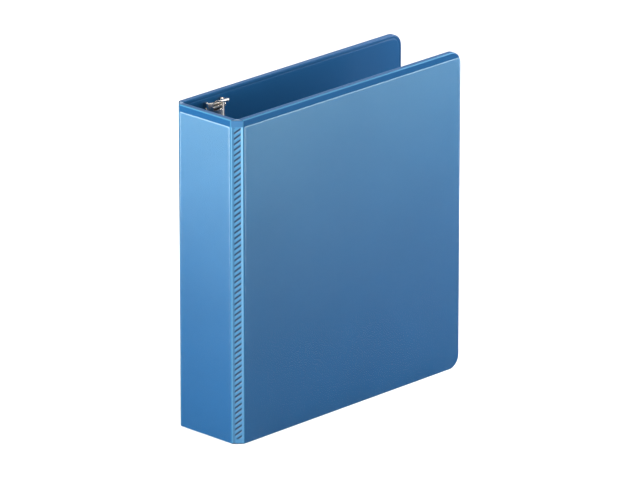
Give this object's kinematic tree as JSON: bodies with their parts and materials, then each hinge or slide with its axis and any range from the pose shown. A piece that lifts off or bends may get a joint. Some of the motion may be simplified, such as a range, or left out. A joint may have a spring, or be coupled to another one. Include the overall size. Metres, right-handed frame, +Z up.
{
  "type": "ring binder",
  "caption": "Upright view binder with boarded vinyl covers on living hinges, a clear overlay, inside pockets and a D-ring mechanism with end levers on the back cover.",
  "frame": {"origin": "bottom centre of the closed binder's bounding box, on the surface it stands on", "axes": "+Z up along the spine, -Y towards the spine, +Y towards the covers' free edges, +X towards the front cover"},
  "size_m": [0.0786, 0.279, 0.2953],
  "materials": {
    "blue_vinyl": "smooth PVC sheet, welded edges",
    "liner_vinyl": "smooth PVC sheet",
    "hinge_vinyl": "PVC sheet, embossed with slanted ribs",
    "pocket_vinyl": "thin PVC sheet",
    "clear_sheet": "clear polypropylene sheet",
    "chipboard": "grey recycled board",
    "nickel_plated_steel": "nickel plate"
  },
  "bodies": {
    "spine": {"spine_board": "chipboard", "spine_vinyl": "blue_vinyl", "spine_liner": "liner_vinyl", "spine_overlay": "clear_sheet", "front_hinge_strip": "hinge_vinyl", "back_hinge_strip": "hinge_vinyl"},
    "front_cover": {"front_board": "chipboard", "front_vinyl": "blue_vinyl", "front_liner": "liner_vinyl", "front_overlay": "clear_sheet", "front_pocket": "pocket_vinyl"},
    "back_cover": {"back_board": "chipboard", "back_vinyl": "blue_vinyl", "back_liner": "liner_vinyl", "back_overlay": "clear_sheet", "back_pocket": "pocket_vinyl", "ring_housing": "nickel_plated_steel", "housing_rivet_bottom": "nickel_plated_steel", "housing_rivet_top": "nickel_plated_steel", "lever_pin_bottom": "nickel_plated_steel", "lever_pin_top": "nickel_plated_steel"},
    "curved_rings": {"spine_side_rail": "nickel_plated_steel", "ring_curve_bottom": "nickel_plated_steel", "ring_curve_middle": "nickel_plated_steel", "ring_curve_top": "nickel_plated_steel"},
    "ring_posts": {"free_side_rail": "nickel_plated_steel", "ring_post_bottom": "nickel_plated_steel", "ring_post_middle": "nickel_plated_steel", "ring_post_top": "nickel_plated_steel"},
    "top_lever": {"lever_top": "nickel_plated_steel"},
    "bottom_lever": {"lever_bottom": "nickel_plated_steel"}
  },
  "joints": [
    {"name": "front_cover_hinge", "type": "hinge", "parent": "spine", "child": "front_cover", "pos_m": [0.0355, -0.13575, 0.14765], "axis": [0, 0, -1], "range_deg": [-2, 175], "deforming": ["front_hinge_strip"]},
    {"name": "back_cover_hinge", "type": "hinge", "parent": "spine", "child": "back_cover", "pos_m": [-0.0355, -0.13575, 0.14765], "axis": [0, 0, 1], "range_deg": [-2, 175], "deforming": ["back_hinge_strip"]},
    {"name": "rings_open", "type": "hinge", "parent": "back_cover", "child": "curved_rings", "pos_m": [-0.0292, -0.1069, 0.14765], "axis": [0, 0, -1], "range_deg": [0, 15]},
    {"name": "posts_open", "type": "hinge", "parent": "back_cover", "child": "ring_posts", "pos_m": [-0.0292, -0.0881, 0.14765], "axis": [0, 0, 1], "range_deg": [0, 15]},
    {"name": "top_lever_press", "type": "hinge", "parent": "back_cover", "child": "top_lever", "pos_m": [-0.0292, -0.0975, 0.2833], "axis": [0, -1, 0], "range_deg": [0, 16.5]},
    {"name": "bottom_lever_press", "type": "hinge", "parent": "back_cover", "child": "bottom_lever", "pos_m": [-0.0292, -0.0975, 0.012], "axis": [0, 1, 0], "range_deg": [0, 16.5]}
  ],
  "couplings": [
    {"joint": "posts_open", "follows": "rings_open", "ratio": 1},
    {"joint": "top_lever_press", "follows": "rings_open", "ratio": 1.1},
    {"joint": "bottom_lever_press", "follows": "rings_open", "ratio": 1.1}
  ]
}
